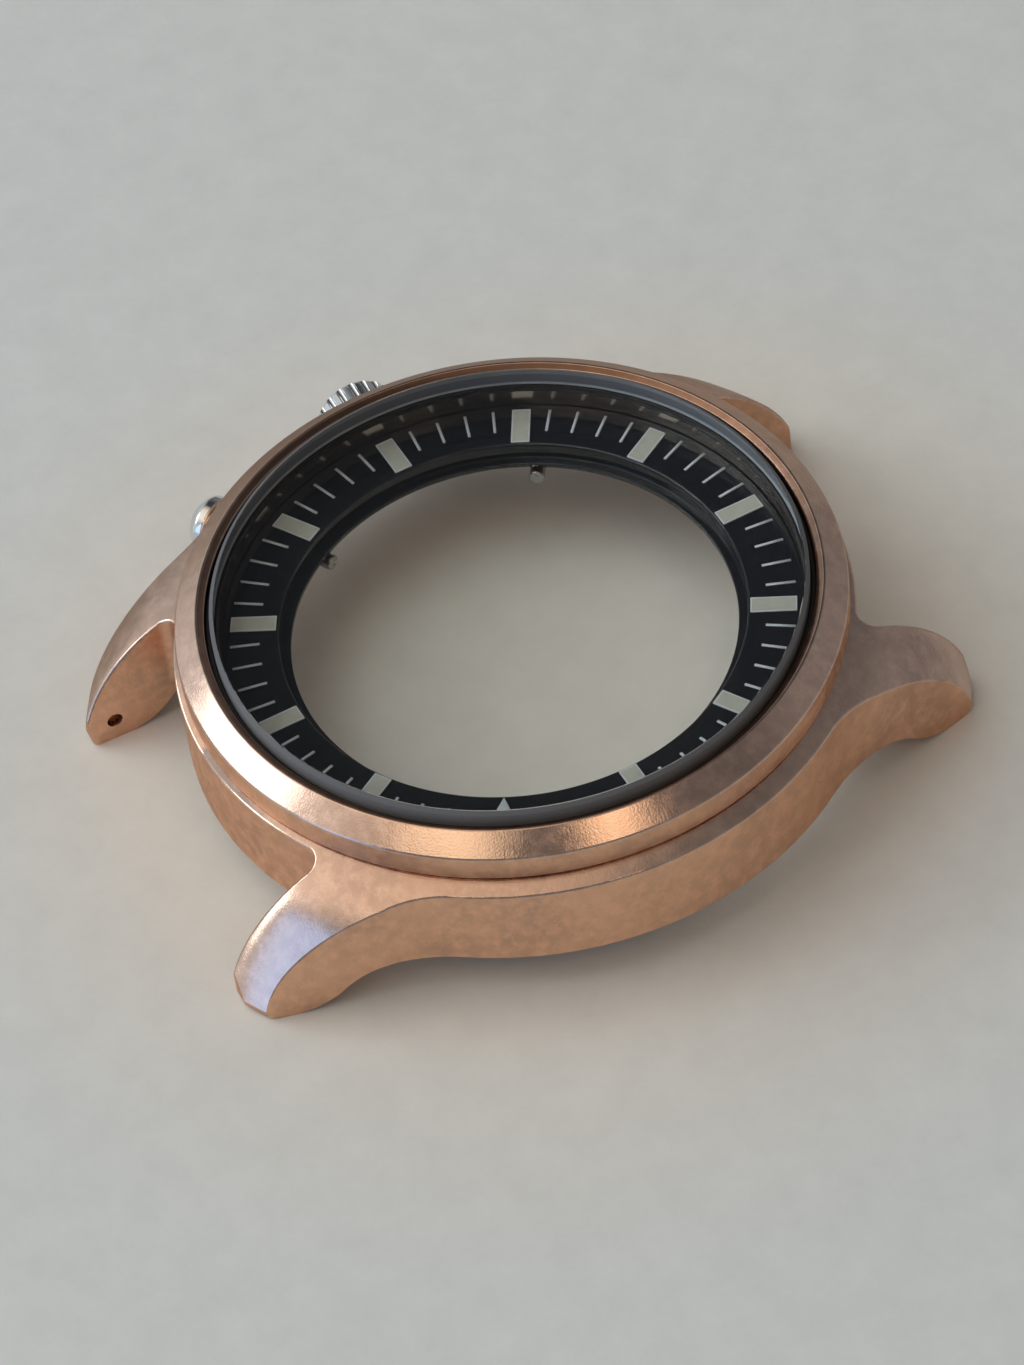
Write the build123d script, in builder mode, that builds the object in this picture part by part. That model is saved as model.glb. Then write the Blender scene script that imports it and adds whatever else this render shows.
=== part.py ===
"""Empty watch case for a 22 mm strap, drawn in millimetres.

The origin is the centre of the mouth of the case back's bore. +Z runs from the
wrist to the crystal, +Y to the lugs at 12 and +X to the crown at 3.
"""

import os
from math import cos, radians, sin, sqrt

from build123d import *

os.makedirs("parts", exist_ok=True)

# Clearances, cuts and eased edges
SEAT_GAP = 0.02
RUNNING_GAP = 0.05
CUT_OVERRUN = 1.0
EDGE_EASE = 0.12
CASE_EDGE_EASE = 0.15

# Mid case in plan: round flanks at 3 and 9, a set back wall between the lugs
CASE_R = 21.0
WALL_SETBACK = 0.65
WALL_CORNER_ROUND = 0.8
STRAP_GAP = 22.0
LUG_BLEND_ANGLE = 34.85
LUG_ROOT_WIDTH = 4.5
LUG_ROOT_SETBACK = 4.9
LUG_TIP_WIDTH = 2.5
LUG_REACH = 2.4

# Mid case: turned top from the bezel seat to the lug tips
SHOULDER_STEP = 0.3
TURNED_MIDDLE_REACH = 3.0
TURNED_MIDDLE_DROP = 2.45
TURNED_TIP_REACH = 5.9
TURNED_TIP_HEIGHT = 0.7
TURNED_FOOT_ROUND = 0.5

# Mid case: underside seen from the side
BASE_TO_RIM = 0.6
LUG_DROP = 2.2
UNDERSIDE_START = 5.6
UNDERSIDE_MIDDLE_SETBACK = 2.3
UNDERSIDE_MIDDLE_DROP = 1.4
PAD_REACH = 1.0
TIP_REACH = 3.05
TIP_ROUND = 0.5

# Mid case: walls and depths of the stepped bore, from the back
BACK_WALL = 3.3
BACK_BORE_DEPTH = 2.0
BACK_RIM_WIDTH = 1.5
SHELF_THICKNESS = 2.15
SHELF_WIDTH = 0.8
LEDGE_WIDTH = 0.7
LEDGE_ABOVE_RING = 1.13
NECK_WALL = 0.8
NECK_HEIGHT = 0.8
LEDGE_ABOVE_SHOULDER = 0.2

# Spring bar holes in the lugs
BAR_HOLE_R = 0.5
BAR_HOLE_DEPTH = 1.0
BAR_HOLE_REACH = 1.39
BAR_HOLE_HEIGHT = 1.52

# Bezel and the gasket under it
BEZEL_SETBACK = 1.0
BEZEL_WALL = 1.1
BEZEL_WALL_HEIGHT = 1.6
BEZEL_LIFT = 0.1
BEZEL_BEVEL_WIDTH = 1.4
BEZEL_BEVEL_HEIGHT = 1.05
BEZEL_LIP_DROP = 0.25
BEZEL_SKIRT = 0.4
REBATE_HEIGHT = 0.35

# Crystal and its gasket
GASKET_WALL = 0.35
GASKET_FOOT = 0.42
GASKET_FOOT_WIDTH = 0.3
GASKET_HEIGHT = 1.85
CRYSTAL_THICKNESS = 2.5
CRYSTAL_BEVEL_WIDTH = 0.27
CRYSTAL_BEVEL_HEIGHT = 0.18

# Chapter ring
RING_HEIGHT = 1.37
RING_WIDTH = 3.4
RING_LIP_WIDTH = 0.59
RING_LIP_HEIGHT = 0.3
RING_EDGE_EASE = 0.16
RING_REST_ANGLE = 62.2

# Marks on the ring
RIGHT_ANGLE = 90
HOURS = 12
MINUTES_PER_HOUR = 5
MARK_MARGIN = 0.48
BLOCK_LENGTH = 2.76
BLOCK_WIDTH = 1.15
BLOCK_HEIGHT = 0.10
LINE_LENGTH = 1.77
LINE_WIDTH = 0.17
LINE_HEIGHT = 0.04
TRIANGLE_WIDTH = 2.4
TRIANGLE_HEIGHT = 0.06

# Crown and its tube
CROWN_DROP = 1.1
CROWN_R = 2.6
CROWN_STANDOFF = 0.4
CROWN_LENGTH = 2.6
CROWN_END_STEP = 0.75
CROWN_END_LENGTH = 0.6
CROWN_SKIRT_STEP = 0.25
CROWN_SKIRT_LENGTH = 0.3
CROWN_CAVITY_DEPTH = 1.75
CROWN_FLUTES = 20
FLUTE_R = 0.25
CROWN_TUBE_R = 1.5
STEM_BORE_R = 0.6
CROWN_TUBE_PROUD = 1.2
TUBE_SEAT_DEPTH = 2.8
CROWN_GASKET_WALL = 0.4
CROWN_GASKET_LENGTH = 0.6
CROWN_GASKET_SETBACK = 0.1

# Pushers at 2 and 4
PUSHER_ANGLE = 31.5
PUSHER_DROP = 0.75
CAP_STANDOFF = 1.0
CAP_R = 1.85
CAP_RIM_THICKNESS = 0.6
CAP_DOME_HEIGHT = 1.05
CAP_RIM_EASE = 0.15
CAP_PLUNGER_LENGTH = 1.5
STEM_R = 0.475
STEM_LENGTH = 8.2
STEM_EASE = 0.08
STEM_THREAD_LENGTH = 0.9
PUSHER_TUBE_R = 1.25
PUSHER_TUBE_WALL = 0.2
PUSHER_TUBE_FLOOR = 0.35
PUSHER_TUBE_PROUD = 0.1
STEM_GASKET_LENGTH = 0.5
SPRING_WALL = 0.3
CLIP_WIDTH = 0.225
CLIP_THICKNESS = 0.25
CLIP_SETBACK = 0.35

# Radii round the main axis, from the flank inwards
wall_r = CASE_R - WALL_SETBACK
bezel_r = CASE_R - BEZEL_SETBACK
shoulder_r = bezel_r - SHOULDER_STEP
bezel_gasket_r = bezel_r - BEZEL_SKIRT
neck_r = bezel_r - BEZEL_WALL
bezel_crest_r = bezel_r - BEZEL_BEVEL_WIDTH
crystal_bore_r = neck_r - NECK_WALL
crystal_r = crystal_bore_r - GASKET_WALL
gasket_foot_r = crystal_r - GASKET_FOOT_WIDTH
ring_bore_r = crystal_bore_r - LEDGE_WIDTH
movement_bore_r = ring_bore_r - SHELF_WIDTH
ring_outer_r = ring_bore_r - RUNNING_GAP
ring_inner_r = ring_outer_r - RING_WIDTH
ring_lip_r = ring_inner_r - RING_LIP_WIDTH
back_bore_r = CASE_R - BACK_WALL
back_rim_r = back_bore_r + BACK_RIM_WIDTH
turned_tip_r = CASE_R + TURNED_TIP_REACH

# Heights, from the rim of the back upwards
shelf_z = BACK_BORE_DEPTH + SHELF_THICKNESS
ring_base_z = shelf_z + RUNNING_GAP
ring_top_z = ring_base_z + RING_HEIGHT
ring_lip_z = ring_base_z + RING_LIP_HEIGHT
ledge_z = ring_top_z + LEDGE_ABOVE_RING
shoulder_z = ledge_z - LEDGE_ABOVE_SHOULDER
neck_top_z = ledge_z + NECK_HEIGHT
bezel_foot_z = shoulder_z + BEZEL_LIFT
rebate_z = bezel_foot_z + REBATE_HEIGHT
bezel_edge_z = bezel_foot_z + BEZEL_WALL_HEIGHT
bezel_crest_z = bezel_edge_z + BEZEL_BEVEL_HEIGHT
bezel_lip_z = bezel_crest_z - BEZEL_LIP_DROP
crystal_base_z = ledge_z + GASKET_FOOT
crystal_top_z = crystal_base_z + CRYSTAL_THICKNESS
gasket_top_z = ledge_z + GASKET_HEIGHT
crown_z = shelf_z - CROWN_DROP
pusher_z = shelf_z - PUSHER_DROP
pad_z = -LUG_DROP

# Plan and side outlines of a lug
lug_inner_x = STRAP_GAP / 2
wall_corner_y = sqrt(wall_r**2 - lug_inner_x**2)
blend_start = (CASE_R * cos(radians(LUG_BLEND_ANGLE)), CASE_R * sin(radians(LUG_BLEND_ANGLE)))
blend_end = (lug_inner_x + LUG_ROOT_WIDTH, CASE_R - LUG_ROOT_SETBACK)
lug_end = (lug_inner_x + LUG_TIP_WIDTH, CASE_R + LUG_REACH)
outline_end_y = turned_tip_r + CUT_OVERRUN
turned_start = (shoulder_r, shoulder_z)
turned_middle = (CASE_R + TURNED_MIDDLE_REACH, shoulder_z - TURNED_MIDDLE_DROP)
turned_tip = (turned_tip_r, pad_z + TURNED_TIP_HEIGHT)
turned_foot_top = (turned_tip_r, pad_z + TURNED_FOOT_ROUND)
turned_foot = (turned_tip_r - TURNED_FOOT_ROUND, pad_z)
underside_start = (CASE_R - UNDERSIDE_START, BASE_TO_RIM)
underside_middle = (
    CASE_R - UNDERSIDE_MIDDLE_SETBACK,
    BASE_TO_RIM - UNDERSIDE_MIDDLE_DROP,
)
pad_start = (CASE_R + PAD_REACH, pad_z)
tip_y = CASE_R + TIP_REACH
pad_end = (tip_y - TIP_ROUND, pad_z)
pad_rounded = (tip_y, pad_z + TIP_ROUND)
bar_hole_y = CASE_R + BAR_HOLE_REACH
bar_hole_z = pad_z + BAR_HOLE_HEIGHT

# Marks on the ring
mark_outer_r = ring_outer_r - MARK_MARGIN
block_middle_r = mark_outer_r - BLOCK_LENGTH / 2
line_middle_r = mark_outer_r - LINE_LENGTH / 2
twelve_angle = RIGHT_ANGLE + RING_REST_ANGLE
hour_step = 360 / HOURS
minute_step = hour_step / MINUTES_PER_HOUR

# Crown, along its own axis from the main axis outwards
tube_seat = CASE_R - TUBE_SEAT_DEPTH
crown_start = CASE_R + CROWN_STANDOFF
crown_end = crown_start + CROWN_LENGTH
crown_end_r = CROWN_R - CROWN_END_STEP
crown_round_start = crown_end - CROWN_END_LENGTH
crown_cavity_r = CROWN_TUBE_R + RUNNING_GAP + CROWN_GASKET_WALL
flute_start = crown_start + CROWN_SKIRT_LENGTH
crown_tube_end = CASE_R + CROWN_TUBE_PROUD
crown_gasket_start = crown_start + CROWN_GASKET_SETBACK
crown_gasket_end = crown_gasket_start + CROWN_GASKET_LENGTH

# Pusher, along its own axis from the main axis outwards
cap_start = CASE_R + CAP_STANDOFF
rim_end = cap_start + CAP_RIM_THICKNESS
dome_end = rim_end + CAP_DOME_HEIGHT
dome_r = (CAP_R**2 + CAP_DOME_HEIGHT**2) / (2 * CAP_DOME_HEIGHT)
plunger_start = cap_start - CAP_PLUNGER_LENGTH
stem_end = plunger_start + STEM_THREAD_LENGTH
stem_start = stem_end - STEM_LENGTH
stem_hole_r = STEM_R + RUNNING_GAP
stem_seat_r = STEM_R + SEAT_GAP
tube_bore_r = PUSHER_TUBE_R - PUSHER_TUBE_WALL
plunger_r = tube_bore_r - RUNNING_GAP
pusher_tube_end = CASE_R + PUSHER_TUBE_PROUD
gasket_start = tube_seat + PUSHER_TUBE_FLOOR
spring_start = gasket_start + STEM_GASKET_LENGTH
spring_r = stem_hole_r + SPRING_WALL
clip_end = movement_bore_r - CLIP_SETBACK
clip_start = clip_end - CLIP_THICKNESS
clip_r = STEM_R + CLIP_WIDTH


def radial_plane(turn, height):
    """Upright plane through the main axis: X runs outwards, Y runs up from the height."""
    turn = radians(turn)
    return Plane(
        origin=(0, 0, height), x_dir=(cos(turn), sin(turn), 0), z_dir=(sin(turn), -cos(turn), 0)
    )


def radial_axis(turn, height):
    """Line that runs outwards from the main axis at a height."""
    turn = radians(turn)
    return Axis((0, 0, height), (cos(turn), sin(turn), 0))


def arc_middle(radius, end):
    """Point halfway along an arc about the origin, from its top to an end to its right."""
    half = Vector(0, radius) + Vector(*end)
    half = half.normalized() * radius
    return (half.X, half.Y)


# Mid case: the plan outline of one quarter, mirrored twice
with BuildPart() as mid_case:
    with BuildSketch(Plane.XY.offset(pad_z)) as plan:
        with BuildLine():
            CenterArc((0, 0), CASE_R, 0, LUG_BLEND_ANGLE)
            TangentArc(blend_start, blend_end, tangent=(-blend_start[1], blend_start[0]))
            Polyline(
                blend_end,
                lug_end,
                (lug_end[0], outline_end_y),
                (lug_inner_x, outline_end_y),
                (lug_inner_x, wall_corner_y),
            )
            ThreePointArc(
                (lug_inner_x, wall_corner_y),
                arc_middle(wall_r, (lug_inner_x, wall_corner_y)),
                (0, wall_r),
            )
            Polyline((0, wall_r), (0, 0), (CASE_R, 0))
        make_face()
        mirror(about=Plane.YZ)
        mirror(about=Plane.XZ)
        # Round the four corners between the wall and the lugs
        wall_corners = plan.vertices().filter_by(
            lambda corner: abs(abs(corner.Y) - wall_corner_y) < SEAT_GAP
        )
        fillet(wall_corners, radius=WALL_CORNER_ROUND)
    extrude(amount=shoulder_z - pad_z)

    # The top, the shoulder and the lug ends are one turned surface
    with BuildSketch(Plane.XZ):
        with BuildLine():
            ThreePointArc(turned_start, turned_middle, turned_tip)
            Line(turned_tip, turned_foot_top)
            TangentArc(turned_foot_top, turned_foot, tangent=(0, -1))
            Polyline(turned_foot, (0, pad_z), (0, shoulder_z), turned_start)
        make_face()
    revolve(axis=Axis.Z, mode=Mode.INTERSECT)

    # The underside is flat under the case and sweeps down in an S to a pad on each lug
    with BuildSketch(Plane.YZ.offset(-CASE_R - CUT_OVERRUN)):
        with BuildLine():
            Polyline((0, shoulder_z), (0, BASE_TO_RIM), underside_start)
            TangentArc(underside_start, underside_middle, tangent=(1, 0))
            TangentArc(pad_start, underside_middle, tangent=(-1, 0))
            Line(pad_start, pad_end)
            TangentArc(pad_end, pad_rounded, tangent=(1, 0))
            Polyline(pad_rounded, (tip_y, shoulder_z), (0, shoulder_z))
        make_face()
        mirror(about=Plane.YZ)
    extrude(amount=2 * (CASE_R + CUT_OVERRUN), mode=Mode.INTERSECT)

    # The wall between the lugs stops at the flat base
    with BuildSketch(Plane.XY.offset(BASE_TO_RIM)):
        Rectangle(STRAP_GAP, 2 * outline_end_y)
    extrude(amount=pad_z - CUT_OVERRUN - BASE_TO_RIM, mode=Mode.SUBTRACT)

    # Ease the edges of the turned surface, from the shoulder down to the lug tips
    turned_edges = mid_case.faces().filter_by(GeomType.TORUS).edges()
    fillet(
        turned_edges.filter_by(lambda edge: bar_hole_z < edge.center().Z < shoulder_z),
        radius=CASE_EDGE_EASE,
    )

    # Neck under the bezel and rim round the case back
    with BuildSketch(Plane.XY):
        Circle(back_rim_r)
    extrude(amount=shoulder_z)
    with BuildSketch(Plane.XY.offset(shoulder_z)):
        Circle(neck_r)
    extrude(amount=neck_top_z - shoulder_z)

    # Stepped bore: case back, movement, ring, crystal
    with BuildSketch(Plane.XZ):
        with BuildLine():
            Polyline(
                (0, -CUT_OVERRUN),
                (back_bore_r, -CUT_OVERRUN),
                (back_bore_r, BACK_BORE_DEPTH),
                (movement_bore_r, BACK_BORE_DEPTH),
                (movement_bore_r, shelf_z),
                (ring_bore_r, shelf_z),
                (ring_bore_r, ledge_z),
                (crystal_bore_r, ledge_z),
                (crystal_bore_r, neck_top_z + CUT_OVERRUN),
                (0, neck_top_z + CUT_OVERRUN),
                close=True,
            )
        make_face()
    revolve(axis=Axis.Z, mode=Mode.SUBTRACT)

    # Blind holes for the spring bars, two lugs at a time
    with BuildSketch(Plane.YZ.offset(-lug_inner_x - BAR_HOLE_DEPTH)):
        with Locations((bar_hole_y, bar_hole_z), (-bar_hole_y, bar_hole_z)):
            Circle(BAR_HOLE_R)
    extrude(amount=STRAP_GAP + 2 * BAR_HOLE_DEPTH, mode=Mode.SUBTRACT)

    # Stepped holes for the crown tube and the pusher tubes
    for turn, height, seat_r, hole_r in (
        (0, crown_z, CROWN_TUBE_R, STEM_BORE_R),
        (PUSHER_ANGLE, pusher_z, PUSHER_TUBE_R, stem_hole_r),
        (-PUSHER_ANGLE, pusher_z, PUSHER_TUBE_R, stem_hole_r),
    ):
        with BuildSketch(radial_plane(turn, height)):
            with BuildLine():
                Polyline(
                    (movement_bore_r - CUT_OVERRUN, 0),
                    (movement_bore_r - CUT_OVERRUN, hole_r),
                    (tube_seat, hole_r),
                    (tube_seat, seat_r + SEAT_GAP),
                    (CASE_R + CUT_OVERRUN, seat_r + SEAT_GAP),
                    (CASE_R + CUT_OVERRUN, 0),
                    close=True,
                )
            make_face()
        revolve(axis=radial_axis(turn, height), mode=Mode.SUBTRACT)

mid_case.part.label = "mid_case"
export_step(mid_case.part, "parts/mid_case.step")

# Bezel: a ring over the neck with a wide bevel and a rebate for its gasket
with BuildPart() as bezel:
    with BuildSketch(Plane.XZ):
        with BuildLine():
            Polyline(
                (crystal_bore_r, neck_top_z),
                (neck_r + SEAT_GAP, neck_top_z),
                (neck_r + SEAT_GAP, rebate_z),
                (bezel_gasket_r + SEAT_GAP, rebate_z),
                (bezel_gasket_r + SEAT_GAP, bezel_foot_z),
                (bezel_r, bezel_foot_z),
                (bezel_r, bezel_edge_z),
                (bezel_crest_r, bezel_crest_z),
                (crystal_bore_r, bezel_lip_z),
                close=True,
            )
        make_face()
    revolve(axis=Axis.Z)
    rims = bezel.edges().filter_by(GeomType.CIRCLE).group_by(lambda edge: edge.center().Z)
    fillet(rims[-1] + rims[-3], radius=EDGE_EASE)
bezel.part.label = "bezel"
export_step(bezel.part, "parts/bezel.step")

# Gasket between the bezel and the shoulder
with BuildPart() as bezel_gasket:
    with BuildSketch(Plane.XY.offset(shoulder_z)):
        Circle(bezel_gasket_r)
        Circle(neck_r + SEAT_GAP, mode=Mode.SUBTRACT)
    extrude(amount=rebate_z - shoulder_z)
bezel_gasket.part.label = "bezel_gasket"
export_step(bezel_gasket.part, "parts/bezel_gasket.step")

# Flat crystal with a small ground bevel
with BuildPart() as crystal:
    with BuildSketch(Plane.XZ):
        with BuildLine():
            Polyline(
                (0, crystal_base_z),
                (crystal_r, crystal_base_z),
                (crystal_r, crystal_top_z - CRYSTAL_BEVEL_HEIGHT),
                (crystal_r - CRYSTAL_BEVEL_WIDTH, crystal_top_z),
                (0, crystal_top_z),
                close=True,
            )
        make_face()
    revolve(axis=Axis.Z)
crystal.part.label = "crystal"
export_step(crystal.part, "parts/crystal.step")

# L-shaped gasket that holds the crystal in the neck and the bezel
with BuildPart() as crystal_gasket:
    with BuildSketch(Plane.XZ):
        with BuildLine():
            Polyline(
                (gasket_foot_r, ledge_z),
                (crystal_bore_r - SEAT_GAP, ledge_z),
                (crystal_bore_r - SEAT_GAP, gasket_top_z),
                (crystal_r + SEAT_GAP, gasket_top_z),
                (crystal_r + SEAT_GAP, crystal_base_z),
                (gasket_foot_r, crystal_base_z),
                close=True,
            )
        make_face()
    revolve(axis=Axis.Z)
crystal_gasket.part.label = "crystal_gasket"
export_step(crystal_gasket.part, "parts/crystal_gasket.step")

# Chapter ring: flat top, steep inner wall and a thin lip at its foot
with BuildPart() as chapter_ring:
    with BuildSketch(Plane.XZ):
        with BuildLine():
            Polyline(
                (ring_lip_r, ring_base_z),
                (ring_outer_r, ring_base_z),
                (ring_outer_r, ring_top_z),
                (ring_inner_r + RING_EDGE_EASE, ring_top_z),
                (ring_inner_r, ring_top_z - RING_EDGE_EASE),
                (ring_inner_r, ring_lip_z),
                (ring_lip_r, ring_lip_z),
                close=True,
            )
        make_face()
    revolve(axis=Axis.Z)
chapter_ring.part.label = "chapter_ring"
export_step(chapter_ring.part, "parts/chapter_ring.step")

# Eleven hour blocks, all but the one at 12
with BuildPart() as hour_blocks:
    with BuildSketch(Plane.XY.offset(ring_top_z)):
        with PolarLocations(
            block_middle_r,
            HOURS - 1,
            start_angle=twelve_angle + hour_step,
            angular_range=hour_step * (HOURS - 2),
            endpoint=True,
        ):
            Rectangle(BLOCK_LENGTH, BLOCK_WIDTH)
    extrude(amount=BLOCK_HEIGHT)
hour_blocks.part.label = "hour_blocks"
export_step(hour_blocks.part, "parts/hour_blocks.step")

# Minute lines between the hours
with BuildPart() as minute_lines:
    with BuildSketch(Plane.XY.offset(ring_top_z)):
        for hour in range(HOURS):
            with PolarLocations(
                line_middle_r,
                MINUTES_PER_HOUR - 1,
                start_angle=twelve_angle + hour * hour_step + minute_step,
                angular_range=hour_step - 2 * minute_step,
                endpoint=True,
            ):
                Rectangle(LINE_LENGTH, LINE_WIDTH)
    extrude(amount=LINE_HEIGHT)
minute_lines.part.label = "minute_lines"
export_step(minute_lines.part, "parts/minute_lines.step")

# Triangle at 12, pointing inwards
with BuildPart() as twelve_triangle:
    with BuildSketch(Plane.XY.offset(ring_top_z).rotated((0, 0, twelve_angle))):
        with BuildLine():
            Polyline(
                (mark_outer_r - BLOCK_LENGTH, 0),
                (mark_outer_r, TRIANGLE_WIDTH / 2),
                (mark_outer_r, -TRIANGLE_WIDTH / 2),
                close=True,
            )
        make_face()
    extrude(amount=TRIANGLE_HEIGHT)
twelve_triangle.part.label = "twelve_triangle"
export_step(twelve_triangle.part, "parts/twelve_triangle.step")

# Crown: a fluted cap with a cavity that runs over the tube
with BuildPart() as crown:
    with BuildSketch(radial_plane(0, crown_z)):
        with BuildLine():
            Polyline(
                (crown_start, crown_cavity_r),
                (crown_start, CROWN_R - CROWN_SKIRT_STEP),
                (flute_start, CROWN_R - CROWN_SKIRT_STEP),
                (flute_start, CROWN_R),
                (crown_round_start, CROWN_R),
            )
            EllipticalCenterArc(
                (crown_round_start, crown_end_r),
                CROWN_END_LENGTH,
                CROWN_END_STEP,
                start_angle=0,
                arc_size=RIGHT_ANGLE,
            )
            Polyline(
                (crown_end, crown_end_r),
                (crown_end, 0),
                (crown_start + CROWN_CAVITY_DEPTH, 0),
                (crown_start + CROWN_CAVITY_DEPTH, crown_cavity_r),
                (crown_start, crown_cavity_r),
            )
        make_face()
    revolve(axis=radial_axis(0, crown_z))
    with BuildSketch(Plane(origin=(flute_start, 0, crown_z), x_dir=(0, 1, 0), z_dir=(1, 0, 0))):
        with PolarLocations(CROWN_R, CROWN_FLUTES):
            Circle(FLUTE_R)
    extrude(amount=crown_end - flute_start, mode=Mode.SUBTRACT)
crown.part.label = "crown"
export_step(crown.part, "parts/crown.step")

# Tube that carries the crown, pressed into the case wall
with BuildPart() as crown_tube:
    with BuildSketch(radial_plane(0, crown_z)):
        with BuildLine():
            Polyline(
                (tube_seat, STEM_BORE_R),
                (tube_seat, CROWN_TUBE_R),
                (crown_tube_end, CROWN_TUBE_R),
                (crown_tube_end, STEM_BORE_R),
                close=True,
            )
        make_face()
    revolve(axis=radial_axis(0, crown_z))
crown_tube.part.label = "crown_tube"
export_step(crown_tube.part, "parts/crown_tube.step")

# Gasket in the mouth of the crown, running on the tube
with BuildPart() as crown_gasket:
    with BuildSketch(radial_plane(0, crown_z)):
        with BuildLine():
            Polyline(
                (crown_gasket_start, CROWN_TUBE_R + RUNNING_GAP),
                (crown_gasket_start, crown_cavity_r - SEAT_GAP),
                (crown_gasket_end, crown_cavity_r - SEAT_GAP),
                (crown_gasket_end, CROWN_TUBE_R + RUNNING_GAP),
                close=True,
            )
        make_face()
    revolve(axis=radial_axis(0, crown_z))
crown_gasket.part.label = "crown_gasket"
export_step(crown_gasket.part, "parts/crown_gasket.step")

# Two pushers, alike but for their place
for place, turn in (("two", PUSHER_ANGLE), ("four", -PUSHER_ANGLE)):
    plane = radial_plane(turn, pusher_z)
    axis = radial_axis(turn, pusher_z)

    # Mushroom cap with a plunger that slides in the tube
    with BuildPart() as cap:
        with BuildSketch(plane):
            with BuildLine():
                RadiusArc((rim_end, CAP_R), (dome_end, 0), dome_r)
                Polyline(
                    (dome_end, 0),
                    (stem_end, 0),
                    (stem_end, stem_seat_r),
                    (plunger_start, stem_seat_r),
                    (plunger_start, plunger_r),
                    (cap_start, plunger_r),
                    (cap_start, CAP_R - CAP_RIM_EASE),
                    (cap_start + CAP_RIM_EASE, CAP_R),
                    (rim_end, CAP_R),
                )
            make_face()
        revolve(axis=axis)
    cap.part.label = f"pusher_cap_{place}"
    export_step(cap.part, f"parts/pusher_cap_{place}.step")

    # Long stem from the cap into the case
    with BuildPart() as stem:
        with BuildSketch(plane):
            with BuildLine():
                Polyline(
                    (stem_start, 0),
                    (stem_start, STEM_R - STEM_EASE),
                    (stem_start + STEM_EASE, STEM_R),
                    (stem_end, STEM_R),
                    (stem_end, 0),
                    close=True,
                )
            make_face()
        revolve(axis=axis)
    stem.part.label = f"pusher_stem_{place}"
    export_step(stem.part, f"parts/pusher_stem_{place}.step")

    # Tube with a floor, pressed into the case wall
    with BuildPart() as tube:
        with BuildSketch(plane):
            with BuildLine():
                Polyline(
                    (tube_seat, stem_hole_r),
                    (tube_seat, PUSHER_TUBE_R),
                    (pusher_tube_end, PUSHER_TUBE_R),
                    (pusher_tube_end, tube_bore_r),
                    (gasket_start, tube_bore_r),
                    (gasket_start, stem_hole_r),
                    close=True,
                )
            make_face()
        revolve(axis=axis)
    tube.part.label = f"pusher_tube_{place}"
    export_step(tube.part, f"parts/pusher_tube_{place}.step")

    # Gasket, spring and clip are rings round the stem: each its ends and its radii
    for name, start, end, inner_r, outer_r in (
        ("gasket", gasket_start, spring_start, stem_hole_r, tube_bore_r - SEAT_GAP),
        ("spring", spring_start, plunger_start, stem_hole_r, spring_r),
        ("clip", clip_start, clip_end, stem_seat_r, clip_r),
    ):
        with BuildPart() as ring:
            with BuildSketch(plane):
                with BuildLine():
                    Polyline(
                        (start, inner_r),
                        (start, outer_r),
                        (end, outer_r),
                        (end, inner_r),
                        close=True,
                    )
                make_face()
            revolve(axis=axis)
        ring.part.label = f"pusher_{name}_{place}"
        export_step(ring.part, f"parts/pusher_{name}_{place}.step")
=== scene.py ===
# %% [markdown]
# # An empty bronze watch case
#
# The object is a wristwatch case with nothing in it: a bronze middle with four lugs, a
# bevelled bezel, a flat crystal, a black chapter ring, a steel crown and two pushers. The
# CAD model gives every piece its size and place. This file gives the pieces their smooth
# surfaces, eased edges and finishes, and then lights and frames them.

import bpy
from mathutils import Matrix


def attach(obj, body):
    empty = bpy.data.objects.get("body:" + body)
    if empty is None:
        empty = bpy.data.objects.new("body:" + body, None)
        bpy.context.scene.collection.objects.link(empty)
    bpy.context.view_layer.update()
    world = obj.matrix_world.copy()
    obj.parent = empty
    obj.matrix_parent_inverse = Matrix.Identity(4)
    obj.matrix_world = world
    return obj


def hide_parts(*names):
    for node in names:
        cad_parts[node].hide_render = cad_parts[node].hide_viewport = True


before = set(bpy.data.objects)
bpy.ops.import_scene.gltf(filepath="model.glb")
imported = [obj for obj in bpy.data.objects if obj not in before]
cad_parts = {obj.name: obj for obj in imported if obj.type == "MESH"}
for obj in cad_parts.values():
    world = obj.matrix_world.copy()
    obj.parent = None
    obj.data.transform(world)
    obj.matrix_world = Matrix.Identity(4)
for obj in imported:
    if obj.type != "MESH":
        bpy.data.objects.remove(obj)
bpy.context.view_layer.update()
print("CAD nodes:", len(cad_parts))

# %% [markdown]
# Blender counts in metres and a watchmaker in millimetres. One factor lets every size
# below be written the way it would stand on a workshop drawing.

# %% Units and imports
from math import cos, pi, radians, sin, tau

import bmesh
import bpy
from mathutils import Matrix, Vector

MM = 0.001
print("1 mm is", MM, "m")

# %% [markdown]
# ## Turned pieces
#
# Nearly everything in a watch case comes off a lathe, so nearly everything here is spun.
# The outline of one side is drawn as a face. Its corners are rounded first, while they
# are only corners of a flat outline: the same rounding on the finished ring would touch
# thousands of edges. Then the outline's edges are spun once round the axis. An outline
# that ends on the axis leaves a ring of equal points there, which merge into one pole.

# %% Spin an outline with rounded corners
POLE_MERGE = 0.0005


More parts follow.
